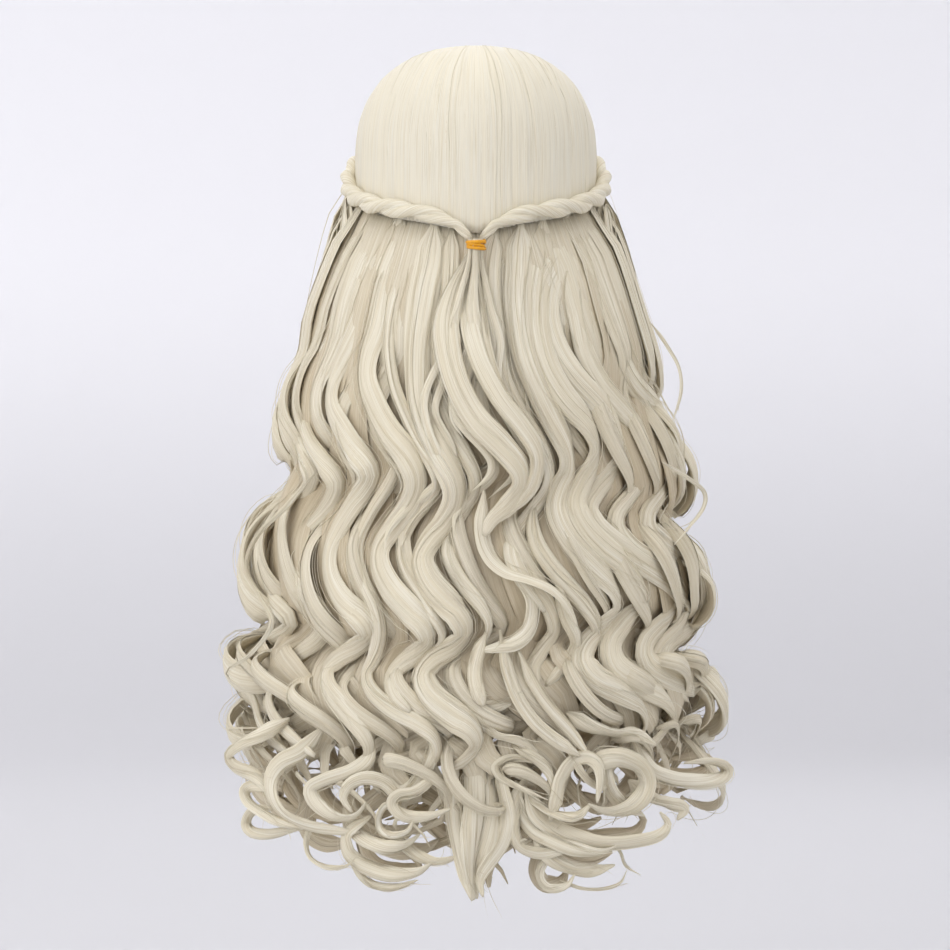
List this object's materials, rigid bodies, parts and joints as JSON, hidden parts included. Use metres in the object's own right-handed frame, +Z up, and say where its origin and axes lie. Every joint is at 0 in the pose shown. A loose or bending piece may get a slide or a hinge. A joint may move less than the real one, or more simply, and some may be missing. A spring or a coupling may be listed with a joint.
{
  "type": "long wavy wig",
  "caption": "Long pale wavy wig on a stretch cap, with rope twists from both temples that meet in an elastic tie at the back of the head.",
  "frame": {"origin": "inside of the cap's crown, where the wig sits on the top of a head", "axes": "+Z up, +X to the wearer's right, the back of the wig faces -Y and the face opening looks +Y"},
  "size_m": [0.3537, 0.2652, 0.6086],
  "materials": {
    "hair_fibre": "satin synthetic fibre",
    "under_fibre": "satin synthetic fibre, shaded",
    "cap_net": "matt stretch net",
    "tie_elastic": "semi-gloss"
  },
  "bodies": {
    "root": {"wig_cap": "cap_net", "crown_hair": "hair_fibre", "front_hair_left": "hair_fibre", "side_hair_left": "hair_fibre", "back_hair_left": "hair_fibre", "back_hair_right": "hair_fibre", "side_hair_right": "hair_fibre", "front_hair_right": "hair_fibre", "under_hair_left": "under_fibre", "under_hair_right": "under_fibre", "twist_left": "hair_fibre", "twist_right": "hair_fibre", "hair_tie": "tie_elastic", "tie_tail": "hair_fibre"}
  },
  "joints": []
}
